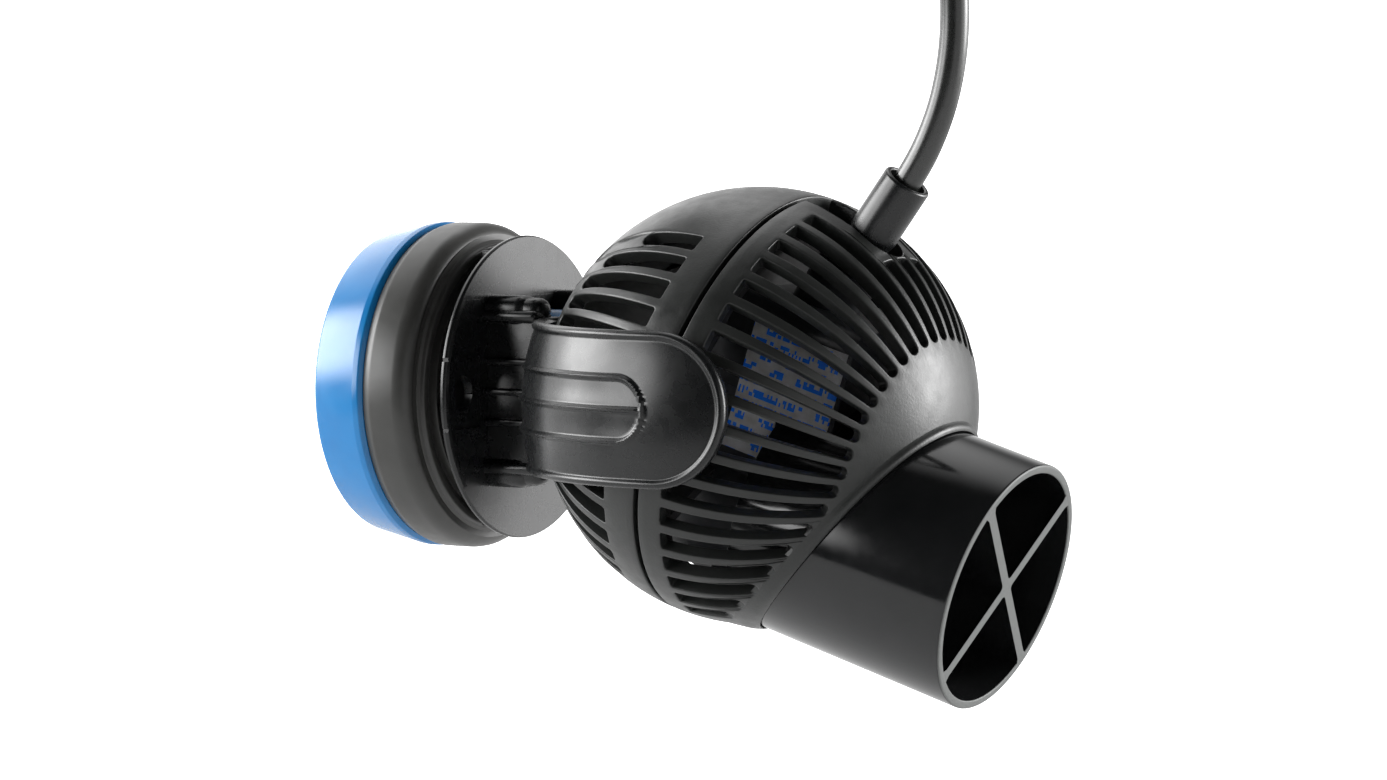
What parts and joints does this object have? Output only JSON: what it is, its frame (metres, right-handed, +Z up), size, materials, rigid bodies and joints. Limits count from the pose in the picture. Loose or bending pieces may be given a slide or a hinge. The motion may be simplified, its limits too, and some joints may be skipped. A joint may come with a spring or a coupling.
{
  "type": "wave maker pump",
  "caption": "Slotted ball-shaped circulation pump with a wide offset discharge nozzle, clasped in a cradle on a round magnet holder, with its cord and connector.",
  "frame": {"origin": "centre of the blue pad's flat face that rests on the glass", "axes": "+X away from the glass towards the nozzle, +Y across the object through the far arm, +Z up"},
  "size_m": [0.1531, 0.0994, 0.2292],
  "materials": {
    "blue_silicone": "satin, slightly translucent",
    "rubbery_black": "satin",
    "magnet": "nickel plated",
    "iron": "bare",
    "satin_black": "satin",
    "steel": "satin",
    "matte_black": "fine grained",
    "gloss_black": "glossy",
    "soft_black": "matt",
    "motor_black": "satin",
    "label_grey": "printed film",
    "copper": "enamelled wire",
    "board_green": "solder mask",
    "ceramic": "polished",
    "cord_black": "semi-gloss",
    "tie_black": "woven hook and loop"
  },
  "bodies": {
    "magnet_base": {"glass_pad": "blue_silicone", "magnet_housing": "rubbery_black", "magnet_disc": "magnet", "back_iron": "iron", "magnet_cover": "rubbery_black", "pivot_stud": "satin_black", "stud_washer": "steel", "stud_screw": "steel"},
    "cradle": {"cradle": "satin_black", "friction_ring": "blue_silicone"},
    "grip_pads": {"grip_pads": "soft_black"},
    "pump": {"rear_shell": "matte_black", "front_shell": "matte_black", "nozzle": "gloss_black", "joint_ring": "soft_black", "motor_mounts": "soft_black", "motor_housing": "motor_black", "motor_label": "label_grey", "stator_core": "iron", "stator_coils": "copper", "rotor_well": "motor_black", "circuit_board": "board_green", "bearing_plate": "motor_black", "rear_bearing": "ceramic", "front_bearing": "ceramic", "cable_gland": "satin_black", "gland_seal": "soft_black", "cord": "cord_black", "cord_coil": "cord_black", "cord_tail": "cord_black", "coil_tie": "tie_black", "connector": "satin_black", "connector_nut": "satin_black"},
    "rotor": {"rotor_magnet": "magnet", "shaft": "ceramic", "propeller": "satin_black", "propeller_nut": "motor_black"}
  },
  "joints": [
    {"name": "cradle_turn", "type": "hinge", "parent": "magnet_base", "child": "cradle", "pos_m": [0.03, 0, 0], "axis": [1, 0, 0], "range_deg": [-90, 90]},
    {"name": "pump_swivel", "type": "hinge", "parent": "cradle", "child": "grip_pads", "pos_m": [0.089, 0, -0.002], "axis": [0, 0, 1], "range_deg": [-25, 25]},
    {"name": "pump_tilt", "type": "hinge", "parent": "grip_pads", "child": "pump", "pos_m": [0.089, 0, -0.002], "axis": [0, 1, 0], "range_deg": [-45, 45]},
    {"name": "propeller_spin", "type": "hinge", "parent": "pump", "child": "rotor", "pos_m": [0.08421, 0, -0.01748], "axis": [0.9553, 0, -0.2957], "continuous": true}
  ]
}
